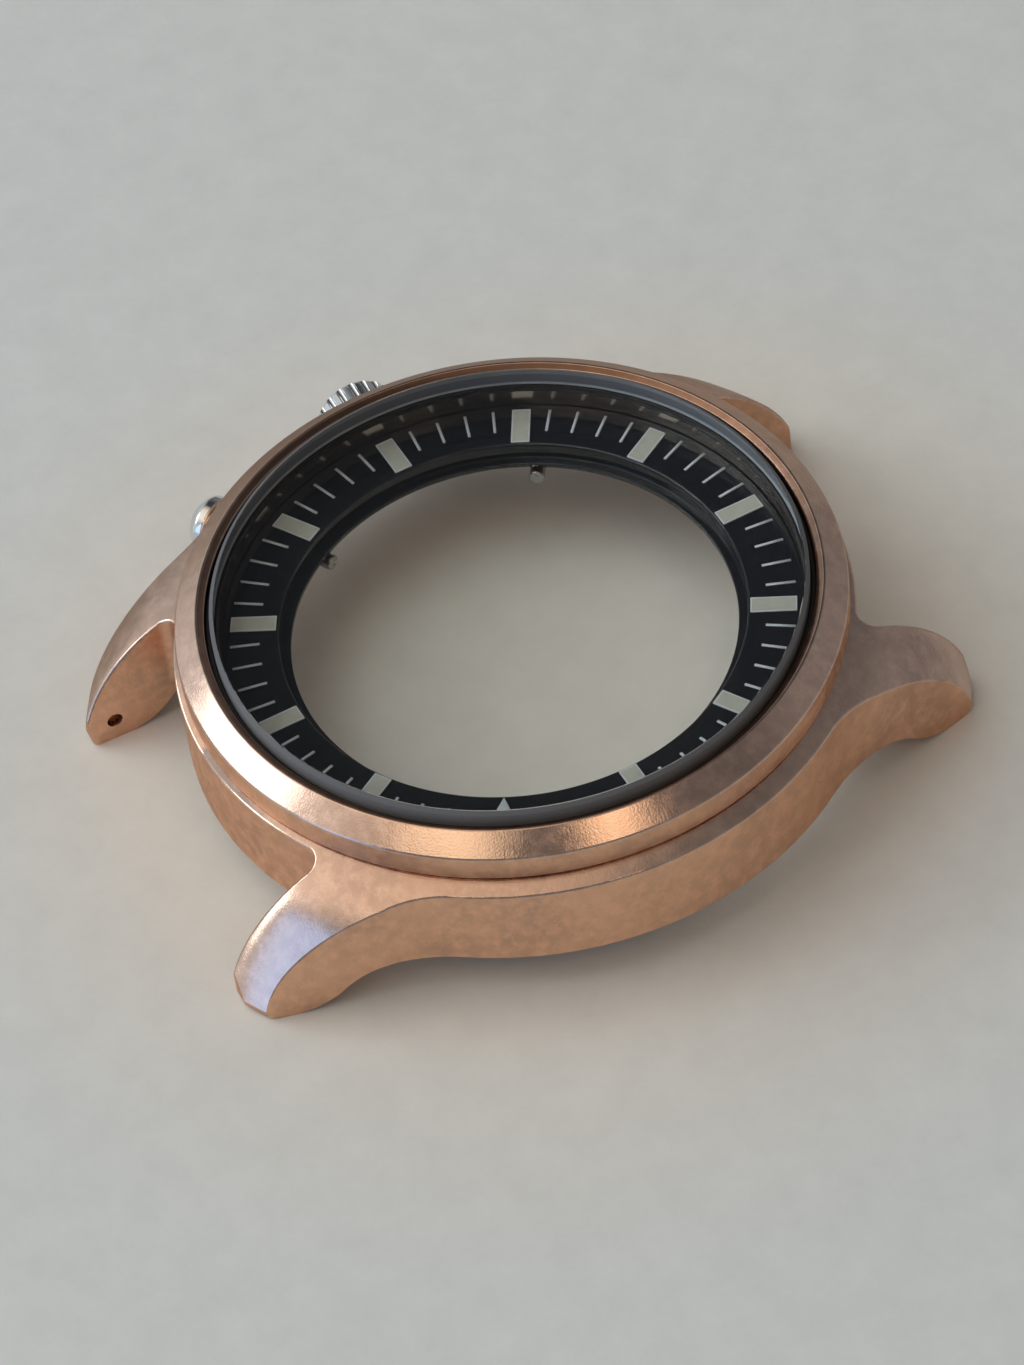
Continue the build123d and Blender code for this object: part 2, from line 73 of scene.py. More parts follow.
def spin_outline(outline, steps, round_segments=4):
    """Mesh spun round Z from (distance out, height, rounding) corners in millimetres."""
    bm = bmesh.new()
    corners = [bm.verts.new((r * MM, 0, z * MM)) for r, z, rounding in outline]
    bm.faces.new(corners)
    for corner, (r, z, rounding) in zip(corners, outline):
        if rounding:
            bmesh.ops.bevel(
                bm, geom=[corner], offset=rounding * MM, offset_type="OFFSET", profile=0.5,
                segments=round_segments, affect="VERTICES", material=-1,
            )
    bmesh.ops.delete(bm, geom=list(bm.faces), context="FACES_ONLY")
    bmesh.ops.spin(
        bm, geom=list(bm.verts) + list(bm.edges), axis=(0, 0, 1), cent=(0, 0, 0),
        angle=tau, steps=steps, use_merge=True,
    )
    bmesh.ops.remove_doubles(bm, verts=list(bm.verts), dist=POLE_MERGE * MM)
    bmesh.ops.recalc_face_normals(bm, faces=list(bm.faces))
    return bm


# %% [markdown]
# The pushers point sideways. Their outlines are still drawn standing up, with the distance
# along the piece as the height, and the finished mesh is laid down along its own direction
# and lifted to its own height.

# %% Direction of a pusher
def laid_outwards(angle, height):
    """Matrix that lays the Z axis down to point outwards at an angle round the case."""
    return (
        Matrix.Translation((0, 0, height * MM))
        @ Matrix.Rotation(radians(angle), 4, "Z")
        @ Matrix.Rotation(pi / 2, 4, "Y")
    )


# %% [markdown]
# Every new piece goes through the same last steps: it becomes an object, stands for its
# CAD node, rides on that node's body and takes its finish from a slot. Smooth shading
# alone would bend the light on a wide flat ring, because each corner's normal is a plain
# mean of its faces. Weighted normals let the large faces win, as on a machined part. That
# needs a rounding, however small, at each corner that shows: without one, two large faces
# share a normal and bend the light between them.

# %% Put a piece in the scene
LARGE_FACE_WEIGHT = 80


def add_piece(name, bm, body, materials, *nodes, weighted=True):
    """Object that stands for CAD nodes, rides a body and has one slot for each material."""
    mesh = bpy.data.meshes.new(name)
    bm.to_mesh(mesh)
    bm.free()
    mesh.shade_smooth()
    piece = bpy.data.objects.new(name, mesh)
    bpy.context.scene.collection.objects.link(piece)
    for material in materials:
        mesh.materials.append(material)
    if weighted:
        normals = piece.modifiers.new("Weighted normals", "WEIGHTED_NORMAL")
        normals.keep_sharp = True
        normals.weight = LARGE_FACE_WEIGHT
    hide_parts(*nodes)
    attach(piece, body)
    print(f"{name}: {len(mesh.polygons)} faces")
    return piece


# %% [markdown]
# ## Shared effects
#
# Brushed metal is a set of fine parallel scratches. On a turned part they run round the
# axis or straight out from it, so the pattern is a noise that is stretched along that
# direction. Dividing X and Y by their length gives a direction that has no seam.

# %% Node helpers
def new_group(name, inputs, outputs):
    group = bpy.data.node_groups.new(name, "ShaderNodeTree")
    for socket, kind, default in inputs:
        made = group.interface.new_socket(socket, in_out="INPUT", socket_type=kind)
        if default is not None:
            made.default_value = default
    for socket, kind in outputs:
        group.interface.new_socket(socket, in_out="OUTPUT", socket_type=kind)
    return group, group.nodes.new("NodeGroupInput"), group.nodes.new("NodeGroupOutput")


def node(tree, kind, **settings):
    made = tree.nodes.new(kind)
    for setting, value in settings.items():
        setattr(made, setting, value)
    return made


# %% Brushing, straight out from the axis and round it
brushing, given, result = new_group(
    "Brushing",
    [("Vector", "NodeSocketVector", None), ("Fineness", "NodeSocketFloat", 180.0)],
    [("Outwards", "NodeSocketFloat"), ("Round", "NodeSocketFloat")],
)
flat = node(brushing, "ShaderNodeVectorMath", operation="MULTIPLY")
flat.inputs[1].default_value = (1, 1, 0)
length = node(brushing, "ShaderNodeVectorMath", operation="LENGTH")
heading = node(brushing, "ShaderNodeVectorMath", operation="NORMALIZE")
fine_heading = node(brushing, "ShaderNodeVectorMath", operation="SCALE")
outward_noise = node(brushing, "ShaderNodeTexNoise", noise_dimensions="3D")
outward_noise.inputs["Scale"].default_value = 1.0
outward_noise.inputs["Detail"].default_value = 4.0
brushing.links.new(given.outputs["Vector"], flat.inputs[0])
brushing.links.new(flat.outputs[0], length.inputs[0])
brushing.links.new(flat.outputs[0], heading.inputs[0])
brushing.links.new(heading.outputs[0], fine_heading.inputs[0])
brushing.links.new(given.outputs["Fineness"], fine_heading.inputs["Scale"])
brushing.links.new(fine_heading.outputs[0], outward_noise.inputs["Vector"])
brushing.links.new(outward_noise.outputs["Fac"], result.inputs["Outwards"])

ring_scale = node(brushing, "ShaderNodeMath", operation="MULTIPLY")
ring_scale.inputs[1].default_value = 9.0 / MM
ring_noise = node(brushing, "ShaderNodeTexNoise", noise_dimensions="1D")
ring_noise.inputs["Scale"].default_value = 1.0
ring_noise.inputs["Detail"].default_value = 3.0
brushing.links.new(length.outputs["Value"], ring_scale.inputs[0])
brushing.links.new(ring_scale.outputs[0], ring_noise.inputs["W"])
brushing.links.new(ring_noise.outputs["Fac"], result.inputs["Round"])
print("group:", brushing.name)

# %% [markdown]
# Bronze darkens where it is handled and stays bright where it rubs. A slow noise gives
# the cloudy tarnish, a faster one the mottling, and a very fine one the grain that years
# of wiping leave. A few small cells of a Voronoi pattern, cut off low, give the nicks and
# specks that a used case picks up.

# %% Tarnish and nicks
wear, given, result = new_group(
    "Wear",
    [("Vector", "NodeSocketVector", None), ("Nick size", "NodeSocketFloat", 0.035)],
    [
        ("Tarnish", "NodeSocketFloat"), ("Nicks", "NodeSocketFloat"),
        ("Mottle", "NodeSocketFloat"), ("Grain", "NodeSocketFloat"),
    ],
)
clouds = node(wear, "ShaderNodeTexNoise")
clouds.inputs["Scale"].default_value = 0.16 / MM
clouds.inputs["Detail"].default_value = 6.0
clouds.inputs["Roughness"].default_value = 0.6
mottle = node(wear, "ShaderNodeTexNoise")
mottle.inputs["Scale"].default_value = 1.1 / MM
mottle.inputs["Detail"].default_value = 5.0
mottle.inputs["Roughness"].default_value = 0.65
grain = node(wear, "ShaderNodeTexNoise")
grain.inputs["Scale"].default_value = 8.0 / MM
grain.inputs["Detail"].default_value = 3.0
cells = node(wear, "ShaderNodeTexVoronoi", feature="F1")
cells.inputs["Scale"].default_value = 0.55 / MM
cells.inputs["Randomness"].default_value = 1.0
bent = node(wear, "ShaderNodeVectorMath", operation="MULTIPLY_ADD")
bent.inputs[1].default_value = (0.8 * MM, 0.8 * MM, 0.8 * MM)
nick_edge = node(wear, "ShaderNodeMath", operation="SUBTRACT")
nick_mask = node(wear, "ShaderNodeMath", operation="MULTIPLY", use_clamp=True)
nick_mask.inputs[1].default_value = 30.0
wear.links.new(given.outputs["Vector"], clouds.inputs["Vector"])
wear.links.new(given.outputs["Vector"], mottle.inputs["Vector"])
wear.links.new(mottle.outputs["Color"], bent.inputs[0])
wear.links.new(given.outputs["Vector"], bent.inputs[2])
wear.links.new(bent.outputs[0], cells.inputs["Vector"])
wear.links.new(given.outputs["Nick size"], nick_edge.inputs[0])
wear.links.new(cells.outputs["Distance"], nick_edge.inputs[1])
wear.links.new(nick_edge.outputs[0], nick_mask.inputs[0])
wear.links.new(clouds.outputs["Fac"], result.inputs["Tarnish"])
wear.links.new(mottle.outputs["Fac"], result.inputs["Mottle"])
wear.links.new(given.outputs["Vector"], grain.inputs["Vector"])
wear.links.new(grain.outputs["Fac"], result.inputs["Grain"])
wear.links.new(nick_mask.outputs[0], result.inputs["Nicks"])
print("group:", wear.name)


# %% [markdown]
# ## Finishes
#
# Each finish starts from the same bare setup: one Principled shader, and the Object
# coordinates that all patterns read. A pattern then drives colour, roughness and bump.

# %% Start a material
def new_material(name, slot, color, metallic=0.0, roughness=0.5, ior=1.5):
    """Material with its node tree, its shader and the coordinates that patterns read."""
    material = bpy.data.materials.new(name)
    material.use_nodes = True
    material["slot"] = slot
    tree = material.node_tree
    shader = tree.nodes["Principled BSDF"]
    shader.inputs["Base Color"].default_value = (*color, 1)
    shader.inputs["Metallic"].default_value = metallic
    shader.inputs["Roughness"].default_value = roughness
    shader.inputs["IOR"].default_value = ior
    place = tree.nodes.new("ShaderNodeTexCoord").outputs["Object"]
    return material, tree, shader, place


def use_group(tree, group, place):
    made = node(tree, "ShaderNodeGroup", node_tree=group)
    tree.links.new(place, made.inputs["Vector"])
    return made


def mix_colors(tree, fac, first, second):
    """Colour that runs from the first to the second as the value runs from 0 to 1."""
    mix = node(tree, "ShaderNodeMix", data_type="RGBA", clamp_factor=True)
    tree.links.new(fac, mix.inputs["Factor"])
    for socket, color in (("A", first), ("B", second)):
        socket = next(s for s in mix.inputs if s.identifier == f"{socket}_Color")
        if hasattr(color, "is_linked"):
            tree.links.new(color, socket)
        else:
            socket.default_value = (*color, 1)
    return next(s for s in mix.outputs if s.identifier == "Result_Color")


def spread(tree, value, low, high, to_low, to_high):
    """Value that runs between two ends as another runs between two others."""
    made = node(tree, "ShaderNodeMapRange", clamp=True)
    tree.links.new(value, made.inputs["Value"])
    for socket, end in (
        ("From Min", low), ("From Max", high), ("To Min", to_low), ("To Max", to_high)
    ):
        made.inputs[socket].default_value = end
    return made.outputs["Result"]


def vary_color(tree, shader, pattern, first, second):
    """Let a pattern run the shader's colour from the first to the second."""
    tree.links.new(mix_colors(tree, pattern, first, second), shader.inputs["Base Color"])


def vary_roughness(tree, shader, worn, lowest, highest, mottle_from=0.3):
    """Let the mottling run the shader's roughness from the lowest to the highest."""
    rough = spread(tree, worn.outputs["Mottle"], mottle_from, 0.7, lowest, highest)
    tree.links.new(rough, shader.inputs["Roughness"])


def add_bump(tree, shader, height, depth):
    """Bump of a depth in millimetres."""
    bump = node(tree, "ShaderNodeBump")
    bump.inputs["Strength"].default_value = 1.0
    bump.inputs["Distance"].default_value = depth * MM
    tree.links.new(height, bump.inputs["Height"])
    tree.links.new(bump.outputs["Normal"], shader.inputs["Normal"])


# %% [markdown]
# The bronze is a rose-coloured copper alloy. On the bezel and on top of the lugs it is
# satin: soft reflections with a faint brushing straight out from the axis. On the flanks
# it is duller and more orange, with a cloudy surface. The narrow slope beside the crystal
# is never wiped and is brown. On the bezel and on that slope the colour is also darker on
# the side away from the camera, the crown's side: that is painted shade.

# %% Bronze
# Tint of what the bronze mirrors at a glancing angle
BRONZE_GLANCE = (0.60, 0.50, 0.45, 1)
NICK_BROWN = (0.26, 0.16, 0.12)
PALER, PALE_LIFT, PALE_SHARE = 1.15, 0.02, 0.8
FAR_SHADE_DARKNESS, FAR_SHADE_SHARE = 0.28, 0.8


def bronze_material(
    name, clean, dark, roughness, depth, mottle_share, grain_share, far_side_shade=None
):
    """Bronze with its bump in millimetres and the places on X where its painted far-side shade
    starts and is full.
    """
    material, tree, shader, place = new_material(name, "bronze", clean, metallic=1.0)
    worn = use_group(tree, wear, place)
    brushed = use_group(tree, brushing, place)
    tarnish = spread(tree, worn.outputs["Tarnish"], 0.38, 0.66, 0.0, 1.0)
    color = mix_colors(tree, tarnish, clean, dark)
    pale = tuple(min(PALER * c + PALE_LIFT, 1) for c in clean)
    speckled = spread(tree, worn.outputs["Mottle"], 0.42, 0.70, 0.0, PALE_SHARE)
    color = mix_colors(tree, speckled, color, pale)
    # Painted shade: towards +X, the side away from the camera, the colour darkens
    if far_side_shade:
        axes = node(tree, "ShaderNodeSeparateXYZ")
        tree.links.new(place, axes.inputs[0])
        start, end = far_side_shade
        far_shaded = spread(tree, axes.outputs["X"], start * MM, end * MM, 0.0, FAR_SHADE_SHARE)
        color = mix_colors(tree, far_shaded, color, tuple(FAR_SHADE_DARKNESS * c for c in clean))
    vary_color(tree, shader, worn.outputs["Nicks"], color, NICK_BROWN)
    vary_roughness(tree, shader, worn, *roughness)
    shader.inputs["Specular Tint"].default_value = BRONZE_GLANCE
    height = brushed.outputs["Outwards"]
    for pattern, share in (("Mottle", mottle_share), ("Grain", grain_share)):
        added = node(tree, "ShaderNodeMath", operation="MULTIPLY_ADD")
        added.inputs[1].default_value = share
        tree.links.new(worn.outputs[pattern], added.inputs[0])
        tree.links.new(height, added.inputs[2])
        height = added.outputs[0]
    add_bump(tree, shader, height, depth)
    return material


bronze_satin = bronze_material(
    "Satin bronze", clean=(0.67, 0.485, 0.39), dark=(0.54, 0.395, 0.325),
    roughness=(0.15, 0.24), depth=0.0016, mottle_share=0.2, grain_share=4.0, far_side_shade=(12, 24),
)
bronze_matt = bronze_material(
    "Matt bronze", clean=(0.84, 0.52, 0.345), dark=(0.66, 0.41, 0.29),
    roughness=(0.36, 0.50), depth=0.010, mottle_share=3.0, grain_share=1.5,
)
bronze_brown = bronze_material(
    "Brown bronze", clean=(0.36, 0.215, 0.155), dark=(0.24, 0.145, 0.11),
    roughness=(0.16, 0.26), depth=0.003, mottle_share=0.5, grain_share=1.6, far_side_shade=(4, 16),
)
print(bronze_satin.name, "and", bronze_matt.name, "and", bronze_brown.name)

# %% [markdown]
# Inside the case the ring's seat is bored, not brushed. The boring tool has left a bright
# skin, and it mirrors the marks on the ring beside it.

# %% Bored bronze
bronze_bored, tree, shader, place = new_material(
    "Bored bronze", "bronze", (0.60, 0.54, 0.49), metallic=1.0, roughness=0.2
)
brushed = use_group(tree, brushing, place)
vary_color(tree, shader, brushed.outputs["Round"], (0.54, 0.48, 0.43), (0.66, 0.60, 0.55))
print(bronze_bored.name)


# %% [markdown]
# Steel comes in two finishes: the crown and the pusher caps are polished, and the stems,
# tubes and clips are turned and left as they came off the lathe. The turned steel is also
# darker than bare steel: partly its duller turned tone and partly painted shade for the
# stem ends that lie in the case's shadow.

# %% Steel
NICK_DARKNESS = 0.6


def steel_material(name, slot, color, roughness):
    material, tree, shader, place = new_material(name, slot, color, metallic=1.0)
    worn = use_group(tree, wear, place)
    vary_roughness(tree, shader, worn, *roughness, mottle_from=0.35)
    nick = tuple(NICK_DARKNESS * c for c in color)
    vary_color(tree, shader, worn.outputs["Nicks"], color, nick)
    return material


steel_polished = steel_material(
    "Polished steel", "polished_steel", (0.72, 0.73, 0.73), roughness=(0.03, 0.10)
)
# Darker than bare steel, partly painted shade for the shaded stem ends
steel_turned_shaded = steel_material(
    "Turned steel with painted shade", "steel", (0.40, 0.40, 0.39), roughness=(0.22, 0.34)
)
print(steel_polished.name, "and", steel_turned_shaded.name)

# %% [markdown]
# The chapter ring is a glossy black, with a little dust on it. The blocks are filled with
# a cream luminous paint that is slightly grainy, inside a thin pale frame. The lines and
# the triangle are a pale print.

# %% Ring finishes
GLOSSY_BLACK, DUST = (0.006, 0.007, 0.009), (0.06, 0.06, 0.06)
ring_black, tree, shader, place = new_material("Ring black", "ring_black", GLOSSY_BLACK)
worn = use_group(tree, wear, place)
worn.inputs["Nick size"].default_value = 0.03
vary_roughness(tree, shader, worn, 0.05, 0.12)
vary_color(tree, shader, worn.outputs["Nicks"], GLOSSY_BLACK, DUST)

lume, tree, shader, place = new_material("Lume", "lume", (0.44, 0.44, 0.37), roughness=0.7)
worn = use_group(tree, wear, place)
vary_color(tree, shader, worn.outputs["Mottle"], (0.33, 0.33, 0.27), (0.52, 0.51, 0.44))
add_bump(tree, shader, worn.outputs["Mottle"], 0.03)

print_grey, tree, shader, place = new_material(
    "Pale print", "print_grey", (0.55, 0.57, 0.57), roughness=0.45
)
worn = use_group(tree, wear, place)
vary_color(tree, shader, worn.outputs["Mottle"], (0.46, 0.48, 0.49), (0.64, 0.66, 0.66))
print("ring finishes:", ring_black.name, lume.name, print_grey.name)

# %% [markdown]
# The gaskets are black rubber. The crystal is clear glass with a ground side wall, which
# is grey and lets nothing be seen through it. Down in its seat the grey is painted darker,
# a painted shade, and it is darker again on its bevel. The narrow bevel at its foot is
# partly ground finer and partly a painted highlight: its pale cool grey shows through the
# glass as a thin pale line. A render that leaves out caustics stops all light at glass, so
# the ring below would stand in the dark. A transparent shader that only shadow rays see lets
# that light through.

# %% Rubber and glass
rubber, tree, shader, place = new_material("Rubber", "rubber", (0.012, 0.012, 0.012))
worn = use_group(tree, wear, place)
vary_roughness(tree, shader, worn, 0.45, 0.7)

glass, tree, shader, place = new_material("Glass", "glass", (0.97, 0.98, 0.98), roughness=0.0)
shader.inputs["Transmission Weight"].default_value = 1.0
worn = use_group(tree, wear, place)
smudged = spread(tree, worn.outputs["Tarnish"], 0.6, 0.8, 0.0, 0.02)
tree.links.new(smudged, shader.inputs["Roughness"])
let_through = node(tree, "ShaderNodeBsdfTransparent")
let_through.inputs["Color"].default_value = (0.95, 0.96, 0.96, 1)
light_path = node(tree, "ShaderNodeLightPath")
choose = node(tree, "ShaderNodeMixShader")
tree.links.new(light_path.outputs["Is Shadow Ray"], choose.inputs["Fac"])
tree.links.new(shader.outputs["BSDF"], choose.inputs[1])
tree.links.new(let_through.outputs["BSDF"], choose.inputs[2])
tree.links.new(choose.outputs["Shader"], tree.nodes["Material Output"].inputs["Surface"])

# Heights in millimetres between which the painted shade in the seat gives way to the
# lighter ground side above it, and where the side darkens again at the bevel
SEAT_SHADE_END = (8.40, 8.55)
BEVEL_START = (9.40, 9.46)
ground_glass, tree, shader, place = new_material(
    "Ground glass", "glass", (0.22, 0.23, 0.24), roughness=0.4, ior=1.25
)
worn = use_group(tree, wear, place)
clouded = mix_colors(tree, worn.outputs["Mottle"], (0.20, 0.205, 0.21), (0.27, 0.275, 0.28))
axes = node(tree, "ShaderNodeSeparateXYZ")
tree.links.new(place, axes.inputs[0])
raised, on_bevel = (
    spread(tree, axes.outputs["Z"], start * MM, end * MM, 0.0, 1.0)
    for start, end in (SEAT_SHADE_END, BEVEL_START)
)
# Painted shade: the ground side is darker down in its seat
seat_shaded = mix_colors(tree, raised, (0.125, 0.135, 0.15), clouded)
vary_color(tree, shader, on_bevel, seat_shaded, (0.13, 0.135, 0.145))

# Partly frosted glass, partly a painted highlight: the pale cool grey stands in for the thin
# bright line at the crystal's foot
frosted_foot_highlight, tree, shader, place = new_material(
    "Frosted foot with painted highlight", "glass", (0.30, 0.32, 0.34), roughness=0.2
)
worn = use_group(tree, wear, place)
vary_color(tree, shader, worn.outputs["Mottle"], (0.24, 0.26, 0.28), (0.36, 0.39, 0.41))
print("soft and clear:", rubber.name, glass.name, ground_glass.name, frosted_foot_highlight.name)

# %% [markdown]
# ## The middle of the case
#
# Its shape is milled and turned, and the CAD solid already has it, with its holes, its
# stepped bore and its eased edges. A copy of that mesh is merged, because the CAD mesh is
# loose patches. Each corner keeps its CAD normal: it comes from the exact surface, so
# long thin triangles don't show as dents in the reflections.

# %% Merge a copy of a CAD node
PATCH_MERGE = 0.002


def merged_copy(node_name):
    """Merged copy of a CAD mesh that carries the CAD normals of its corners with it."""
    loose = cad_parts[node_name].data.copy()
    exact = loose.attributes.new("cad_normal", "FLOAT_VECTOR", "CORNER")
    for corner, normal in zip(exact.data, loose.corner_normals):
        corner.vector = normal.vector
    bm = bmesh.new()
    bm.from_mesh(loose)
    bpy.data.meshes.remove(loose)
    bmesh.ops.remove_doubles(bm, verts=list(bm.verts), dist=PATCH_MERGE * MM)
    return bm


def take_normals(mesh, finish=lambda place, normal: normal):
    """Shade a merged copy with the normals that its corners carry."""
    exact = mesh.attributes["cad_normal"].data
    mesh.normals_split_custom_set([
        finish(mesh.vertices[loop.vertex_index].co / MM, exact[loop.index].vector.copy())
        for loop in mesh.loops
    ])
    mesh.attributes.remove(mesh.attributes["cad_normal"])


# %% [markdown]
# The tops of the lugs have been polished by hand. That leaves them slightly crowned: the
# surface leans towards both long edges, most of all beside the strap. Near the tips it
# turns down less than the outline does. Both are too shallow for the outline, so only the
# normals change, and the change fades out where a lug joins the case.

# %% Hand-polished lug tops
# A slope, here and below, is the Z part of a normal: 1 faces straight up
LUG_MIDDLE = 12.25
LUG_HALF_WIDTH = 1.25
POLISHED_FROM, POLISHED_FULL = 18.5, 21.5
INNER_LEAN, OUTER_LEAN = 0.34, 0.05
STEEP_FROM, STEEP_SHARE = radians(44), 0.2
TOP_SLOPE = 0.15


def polish_lug(place, normal):
    """Normal at a place in millimetres, as hand polishing leaves it on top of a lug."""
    share = (abs(place.y) - POLISHED_FROM) / (POLISHED_FULL - POLISHED_FROM)
    share = min(max(share, 0), 1)
    if normal.z < TOP_SLOPE or not share:
        return normal
    tilt = normal.angle(Vector((0, 0, 1)))
    if tilt > STEEP_FROM:
        tilt -= share * (1 - STEEP_SHARE) * (tilt - STEEP_FROM)
    outwards = Vector((normal.x, normal.y, 0)).normalized()
    polished = sin(tilt) * outwards + Vector((0, 0, cos(tilt)))
    across = min(max((abs(place.x) - LUG_MIDDLE) / LUG_HALF_WIDTH, -1), 1)
    lean = OUTER_LEAN * across if across > 0 else -INNER_LEAN * across**2
    polished.x += (1 if place.x > 0 else -1) * share * lean
    return polished.normalized()


# %% Middle of the case
MATT_SLOT, BORED_SLOT = 1, 2
MATT_SLOPE = 0.15
MATT_FROM = 19.0
BORED_WITHIN = 18.2
BORED_ABOVE = 4.0

bm = merged_copy("mid_case")
for face in bm.faces:
    middle = face.calc_center_median() / MM
    if middle.xy.length > MATT_FROM and abs(face.normal.z) < MATT_SLOPE:
        face.material_index = MATT_SLOT
    elif middle.xy.length < BORED_WITHIN and middle.z > BORED_ABOVE:
        face.material_index = BORED_SLOT
mid_case = add_piece(
    "case_middle", bm, "case", [bronze_satin, bronze_matt, bronze_bored], "mid_case",
    weighted=False,
)
take_normals(mid_case.data, polish_lug)

# %% [markdown]
# ## Bezel
#
# The bezel is a ring with a wide bevel, a small flat slope towards the crystal and a
# rebate for its gasket. It sits over the neck of the case. The slope is brown and the
# side wall matt.

# %% Bezel
RING_STEPS = 256
BEZEL_OUTLINE = [
    (18.10, 7.50, 0.0),
    (18.92, 7.50, 0.0),
    (18.92, 6.95, 0.0),
    (19.62, 6.95, 0.0),
    (19.62, 6.60, 0.0),
    (20.00, 6.60, 0.06),
    (20.00, 8.20, 0.12),
    (18.60, 9.25, 0.12),
    (18.10, 9.00, 0.08),
]
LIP_FROM, LIP_TO = 18.17, 18.5
SIDE_FROM = 19.9
LIP_SLOPE, SIDE_SLOPE = 0.5, 0.3
LIP_SLOT, SIDE_SLOT = 1, 2
bm = spin_outline(BEZEL_OUTLINE, RING_STEPS)
for face in bm.faces:
    radius = face.calc_center_median().xy.length / MM
    if LIP_FROM < radius < LIP_TO and face.normal.z > LIP_SLOPE:
        face.material_index = LIP_SLOT
    elif radius > SIDE_FROM and abs(face.normal.z) < SIDE_SLOPE:
        face.material_index = SIDE_SLOT
add_piece("bezel_ring", bm, "case", [bronze_satin, bronze_brown, bronze_matt], "bezel")

# %% [markdown]
# ## Crystal and gaskets
#
# The crystal is a flat disc with a narrow ground bevel. It stands a little above the
# bezel, so its ground side shows as a grey band all the way round.

# %% Crystal
CRYSTAL_OUTLINE = [
    (0.0, 7.12, 0.0),
    (17.75, 7.12, 0.14),
    (17.75, 9.44, 0.03),
    (17.48, 9.62, 0.03),
    (0.0, 9.62, 0.0),
]
GROUND_FROM = 17.50
GROUND_ABOVE = 7.27
FLAT_UNDERSIDE = -0.99
# The foot takes the pale frosted finish, which is partly a painted highlight
GROUND_SLOT, FOOT_HIGHLIGHT_SLOT = 1, 2
bm = spin_outline(CRYSTAL_OUTLINE, RING_STEPS)
for face in bm.faces:
    middle = face.calc_center_median() / MM
    if middle.xy.length > GROUND_FROM and face.normal.z > FLAT_UNDERSIDE:
        face.material_index = GROUND_SLOT if middle.z > GROUND_ABOVE else FOOT_HIGHLIGHT_SLOT
add_piece("crystal_glass", bm, "case", [glass, ground_glass, frosted_foot_highlight], "crystal")

# %% Gaskets
SEAL_STEPS = 192
CRYSTAL_GASKET_OUTLINE = [
    (17.45, 6.70, 0.0),
    (18.08, 6.70, 0.05),
    (18.08, 8.55, 0.08),
    (17.77, 8.55, 0.08),
    (17.77, 7.12, 0.0),
    (17.45, 7.12, 0.05),
]
bm = spin_outline(CRYSTAL_GASKET_OUTLINE, SEAL_STEPS)
add_piece("crystal_seal", bm, "case", [rubber], "crystal_gasket")

BEZEL_GASKET_OUTLINE = [
    (18.92, 6.50, 0.0),
    (19.60, 6.50, 0.1),
    (19.60, 6.95, 0.1),
    (18.92, 6.95, 0.0),
]
bm = spin_outline(BEZEL_GASKET_OUTLINE, SEAL_STEPS)
add_piece("bezel_seal", bm, "case", [rubber], "bezel_gasket")

# %% [markdown]
# ## Chapter ring
#
# The ring carries the hour and minute marks. Its flat top ends in a steep inner wall
# with a thin lip at its foot, which the dial would lie under.

# %% Chapter ring
CHAPTER_RING_OUTLINE = [
    (13.36, 4.20, 0.0),
    (17.35, 4.20, 0.0),
    (17.35, 5.57, 0.05),
    (13.95, 5.57, 0.16),
    (13.95, 4.50, 0.06),
    (13.36, 4.50, 0.06),
]
bm = spin_outline(CHAPTER_RING_OUTLINE, RING_STEPS)
add_piece("chapter_ring_turned", bm, "ring", [ring_black], "chapter_ring")

# %% [markdown]
# ## Marks on the ring
#
# The hour blocks and minute lines are thin bars on the ring. Each starts as a cube that is
# scaled, pushed out to its radius and turned to its place. The triangle is drawn and given
# a thickness. The ring is loose in the empty case and lies turned, so 12 is not in line
# with the lugs.

# %% Places of the marks
RING_TOP = 5.57
TWELVE_ANGLE = 152.2
MARK_OUTER = 16.87
HOUR_STEP = 30
MINUTE_STEP = 6


def add_bar(bm, angle, length, width, height):
    """Flat bar on the ring, with its outer end on the marks' outer circle."""
    place = (
        Matrix.Rotation(radians(angle), 4, "Z")
        @ Matrix.Translation(((MARK_OUTER - length / 2) * MM, 0, (RING_TOP + height / 2) * MM))
        @ Matrix.Diagonal((length * MM, width * MM, height * MM, 1))
    )
    bmesh.ops.create_cube(bm, size=1.0, matrix=place)


# %% Hour blocks with their pale frames
BLOCK_LENGTH, BLOCK_WIDTH, BLOCK_HEIGHT = 2.76, 1.15, 0.10
FRAME_WIDTH, PAINT_SINK = 0.13, 0.02
BLOCK_EASE, SHARP_ANGLE = 0.03, radians(60)
PAINT_SLOT, FRAME_SLOT = 0, 1
bm = bmesh.new()
for hour in range(1, 12):
    add_bar(bm, TWELVE_ANGLE + hour * HOUR_STEP, BLOCK_LENGTH, BLOCK_WIDTH, BLOCK_HEIGHT)
tops = [face for face in bm.faces if face.normal.z > 0.9]
bmesh.ops.inset_individual(bm, faces=tops, thickness=FRAME_WIDTH * MM, depth=-PAINT_SINK * MM)
for face in bm.faces:
    face.material_index = FRAME_SLOT
for face in tops:
    face.material_index = PAINT_SLOT
bmesh.ops.bevel(
    bm, geom=[e for e in bm.edges if e.calc_face_angle(0) > SHARP_ANGLE],
    offset=BLOCK_EASE * MM, offset_type="OFFSET", segments=2, profile=0.5, affect="EDGES",
    material=-1,
)
add_piece("hour_marks", bm, "ring", [lume, print_grey], "hour_blocks")

# %% Minute lines and the triangle
LINE_LENGTH, LINE_WIDTH, LINE_HEIGHT = 1.77, 0.17, 0.04
bm = bmesh.new()
for minute in range(60):
    if minute % 5:
        angle = TWELVE_ANGLE + minute * MINUTE_STEP
        add_bar(bm, angle, LINE_LENGTH, LINE_WIDTH, LINE_HEIGHT)
add_piece("minute_marks", bm, "ring", [print_grey], "minute_lines", weighted=False)

